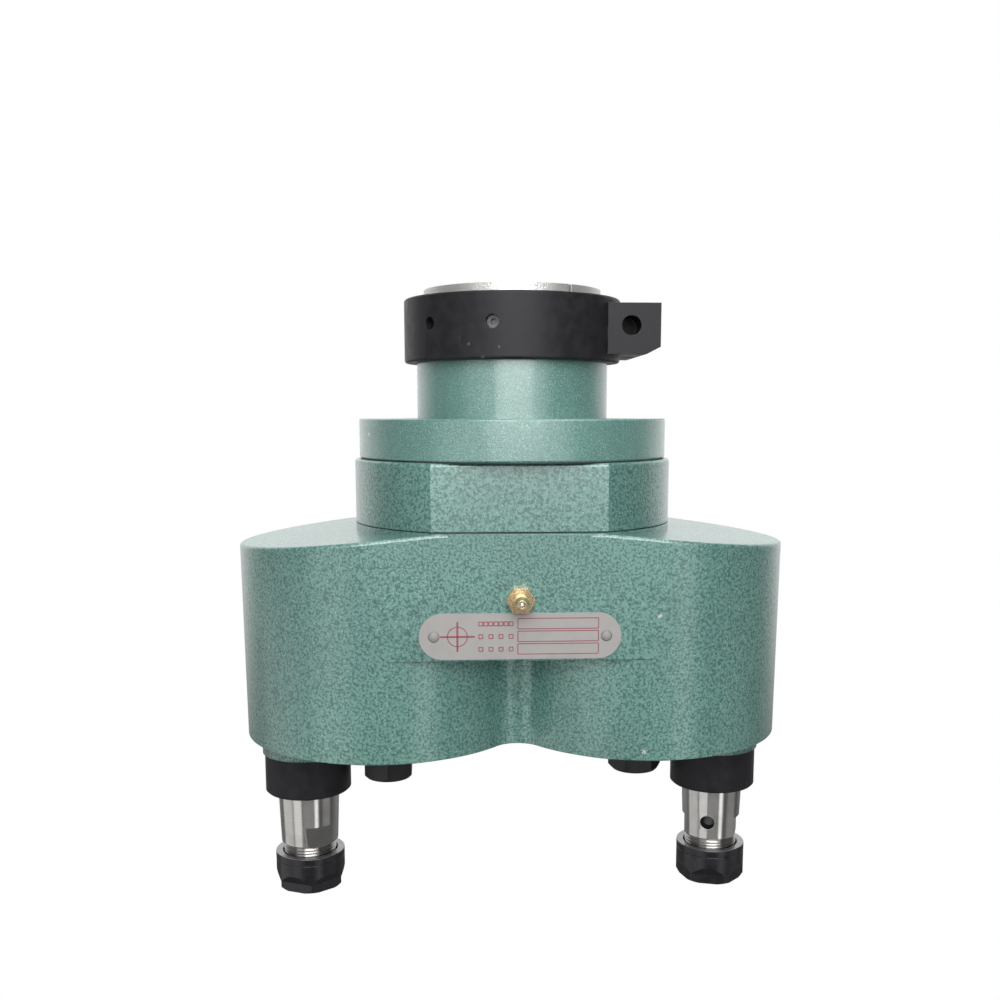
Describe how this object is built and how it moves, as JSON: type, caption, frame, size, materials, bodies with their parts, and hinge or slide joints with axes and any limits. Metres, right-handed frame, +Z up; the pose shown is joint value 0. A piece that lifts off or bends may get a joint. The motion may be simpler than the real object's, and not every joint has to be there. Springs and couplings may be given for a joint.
{
  "type": "multi-spindle head",
  "caption": "Adjustable drilling head that clamps on a machine quill and drives collet spindles on swing arms from one geared shaft.",
  "frame": {"origin": "centre of the quill bore at its open top end", "axes": "+Z up along the main shaft, -Y the front with the nameplate, +X towards the clamp lugs"},
  "size_m": [0.2616, 0.1559, 0.2922],
  "materials": {
    "green_paint": "teal green hammered paint",
    "black_oxide": "matt black oxide",
    "ground_steel": "ground and turned steel",
    "gear_steel": "hobbed, oiled steel",
    "bearing_steel": "polished bearing steel",
    "black_screw": "blackened screws",
    "brass": "bright machined brass",
    "bronze": "sintered bronze",
    "seal_rubber": "black rubber",
    "gasket": "dark sheet gasket",
    "plate": "pale printed plate",
    "rivet": "soft rivets"
  },
  "bodies": {
    "head": {"clamp_collar": "black_oxide", "clamp_screw": "black_screw", "collar_grub_screws": "black_screw", "neck": "green_paint", "flange_gasket": "gasket", "bearing_block": "green_paint", "block_gasket": "gasket", "case_screws": "black_screw", "gear_case": "green_paint", "main_outer_rings": "bearing_steel", "main_bearing_spacer": "ground_steel", "shaft_seal": "seal_rubber", "grease_nipple": "brass", "nipple_ball": "bearing_steel", "nameplate": "plate", "nameplate_rivets": "rivet", "left_pivot_stud": "ground_steel", "left_pivot_washer": "black_screw", "left_pivot_nut": "black_screw", "right_pivot_stud": "ground_steel", "right_pivot_washer": "black_screw", "right_pivot_nut": "black_screw"},
    "main_ball_rows": {"main_ball_rows": "bearing_steel"},
    "main_drive": {"main_shaft": "ground_steel", "main_inner_rings": "bearing_steel", "bearing_locknut": "black_screw", "main_gear": "gear_steel", "main_gear_key": "ground_steel", "gear_retainer": "black_screw", "gear_retainer_screw": "black_screw"},
    "left_idler": {"left_idler_gear": "gear_steel", "left_idler_bush": "bronze"},
    "left_arm": {"left_swing_arm": "green_paint", "left_spindle_outer_rings": "bearing_steel", "left_bearing_cap": "black_oxide", "left_spindle_seal": "seal_rubber"},
    "left_ball_rows": {"left_spindle_ball_rows": "bearing_steel"},
    "left_spindle": {"left_spindle": "ground_steel", "left_spindle_gear": "gear_steel", "left_spindle_key": "ground_steel", "left_spindle_circlip": "black_screw", "left_spindle_inner_rings": "bearing_steel"},
    "left_collet": {"left_collet": "ground_steel"},
    "left_collet_nut": {"left_collet_nut": "black_oxide"},
    "right_idler": {"right_idler_gear": "gear_steel", "right_idler_bush": "bronze"},
    "right_arm": {"right_swing_arm": "green_paint", "right_spindle_outer_rings": "bearing_steel", "right_bearing_cap": "black_oxide", "right_spindle_seal": "seal_rubber"},
    "right_ball_rows": {"right_spindle_ball_rows": "bearing_steel"},
    "right_spindle": {"right_spindle": "ground_steel", "right_spindle_gear": "gear_steel", "right_spindle_key": "ground_steel", "right_spindle_circlip": "black_screw", "right_spindle_inner_rings": "bearing_steel"},
    "right_collet": {"right_collet": "ground_steel"},
    "right_collet_nut": {"right_collet_nut": "black_oxide"}
  },
  "joints": [
    {"name": "main_spin", "type": "hinge", "parent": "head", "child": "main_drive", "pos_m": [0, 0, -0.1], "axis": [0, 0, 1], "continuous": true},
    {"name": "main_balls_roll", "type": "hinge", "parent": "head", "child": "main_ball_rows", "pos_m": [0, 0, -0.09], "axis": [0, 0, 1], "continuous": true},
    {"name": "left_idler_spin", "type": "hinge", "parent": "head", "child": "left_idler", "pos_m": [-0.062, 0, -0.145], "axis": [0, 0, 1], "continuous": true},
    {"name": "left_arm_swing", "type": "hinge", "parent": "head", "child": "left_arm", "pos_m": [-0.062, 0, -0.2], "axis": [0, 0, 1], "range_deg": [-140, 140]},
    {"name": "left_balls_roll", "type": "hinge", "parent": "left_arm", "child": "left_ball_rows", "pos_m": [-0.102, 0, -0.2], "axis": [0, 0, 1], "range_deg": [-210, 210]},
    {"name": "left_spindle_spin", "type": "hinge", "parent": "left_ball_rows", "child": "left_spindle", "pos_m": [-0.102, 0, -0.25], "axis": [0, 0, 1], "continuous": true},
    {"name": "left_collet_release", "type": "slide", "parent": "left_spindle", "child": "left_collet", "axis": [0, 0, -1], "range_m": [0, 0.003]},
    {"name": "left_nut_turn", "type": "hinge", "parent": "left_collet", "child": "left_collet_nut", "pos_m": [-0.102, 0, -0.28], "axis": [0, 0, -1], "range_deg": [0, 720]},
    {"name": "right_idler_spin", "type": "hinge", "parent": "head", "child": "right_idler", "pos_m": [0.062, 0, -0.145], "axis": [0, 0, 1], "continuous": true},
    {"name": "right_arm_swing", "type": "hinge", "parent": "head", "child": "right_arm", "pos_m": [0.062, 0, -0.2], "axis": [0, 0, 1], "range_deg": [-140, 140]},
    {"name": "right_balls_roll", "type": "hinge", "parent": "right_arm", "child": "right_ball_rows", "pos_m": [0.102, 0, -0.2], "axis": [0, 0, 1], "range_deg": [-210, 210]},
    {"name": "right_spindle_spin", "type": "hinge", "parent": "right_ball_rows", "child": "right_spindle", "pos_m": [0.102, 0, -0.25], "axis": [0, 0, 1], "continuous": true},
    {"name": "right_collet_release", "type": "slide", "parent": "right_spindle", "child": "right_collet", "axis": [0, 0, -1], "range_m": [0, 0.003]},
    {"name": "right_nut_turn", "type": "hinge", "parent": "right_collet", "child": "right_collet_nut", "pos_m": [0.102, 0, -0.28], "axis": [0, 0, -1], "range_deg": [0, 720]}
  ],
  "couplings": [
    {"joint": "main_balls_roll", "follows": "main_spin", "ratio": 0.45},
    {"joint": "left_idler_spin", "follows": "main_spin", "ratio": -1.5833},
    {"joint": "left_spindle_spin", "follows": "main_spin", "ratio": 2.375},
    {"joint": "left_balls_roll", "follows": "left_arm_swing", "ratio": 1.5},
    {"joint": "left_collet_release", "follows": "left_nut_turn", "m_per_rad": 0.00023873},
    {"joint": "right_idler_spin", "follows": "main_spin", "ratio": -1.5833},
    {"joint": "right_spindle_spin", "follows": "main_spin", "ratio": 2.375},
    {"joint": "right_balls_roll", "follows": "right_arm_swing", "ratio": 1.5},
    {"joint": "right_collet_release", "follows": "right_nut_turn", "m_per_rad": 0.00023873}
  ]
}
